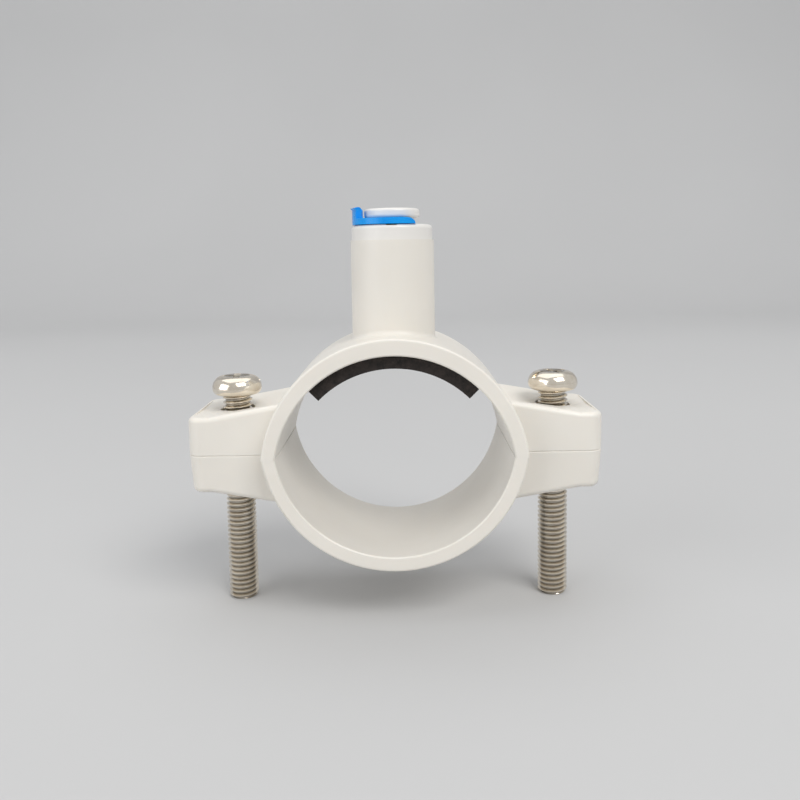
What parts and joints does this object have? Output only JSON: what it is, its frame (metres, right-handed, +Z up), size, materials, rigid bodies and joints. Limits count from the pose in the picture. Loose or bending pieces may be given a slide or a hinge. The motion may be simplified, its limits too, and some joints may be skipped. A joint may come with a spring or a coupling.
{
  "type": "tapping saddle",
  "caption": "Two-piece plastic clamp for a waste pipe, with a gasket, screws and nuts at its ears and an upright push-fit tube port held by a locking clip.",
  "frame": {"origin": "middle of the pipe opening, on the parting plane of the two halves", "axes": "+X along the ears to the right, +Y along the pipe away from the viewer, +Z up the port"},
  "size_m": [0.0668, 0.0254, 0.0664],
  "materials": {
    "saddle_plastic": "satin white moulding",
    "port_plastic": "satin",
    "clip_plastic": "blue satin",
    "gasket_rubber": "matt black",
    "seal_rubber": "smooth black",
    "screw_steel": "plated, bright",
    "tooth_steel": "bright"
  },
  "bodies": {
    "lower_half": {"lower_saddle": "saddle_plastic", "nut_left": "screw_steel", "nut_right": "screw_steel"},
    "upper_half": {"upper_saddle": "saddle_plastic", "gasket": "gasket_rubber", "port_cap": "port_plastic", "spacer_washer": "port_plastic", "o_ring": "seal_rubber"},
    "left_screw": {"screw_left": "screw_steel"},
    "right_screw": {"screw_right": "screw_steel"},
    "collet_group": {"collet": "port_plastic", "grab_teeth": "tooth_steel"},
    "clip": {"lock_clip": "clip_plastic"}
  },
  "joints": [
    {"name": "clamp_opening", "type": "slide", "parent": "lower_half", "child": "upper_half", "axis": [0, 0, 1], "range_m": [0, 0.02]},
    {"name": "screw_right_turn", "type": "hinge", "parent": "upper_half", "child": "right_screw", "pos_m": [0.0268, 0, 0], "axis": [0, 0, 1], "range_deg": [0, 9001]},
    {"name": "screw_left_turn", "type": "hinge", "parent": "upper_half", "child": "left_screw", "pos_m": [-0.0268, 0, 0], "axis": [0, 0, 1], "range_deg": [0, 9001]},
    {"name": "collet_turn", "type": "hinge", "parent": "upper_half", "child": "collet_group", "pos_m": [0, 0, 0.036], "axis": [0, 0, 1], "continuous": true},
    {"name": "clip_pull", "type": "slide", "parent": "collet_group", "child": "clip", "axis": [-1, 0, 0], "range_m": [0, 0.014]}
  ],
  "couplings": [
    {"joint": "screw_right_turn", "follows": "clamp_opening", "rad_per_m": 7854},
    {"joint": "screw_left_turn", "follows": "clamp_opening", "rad_per_m": 7854}
  ]
}
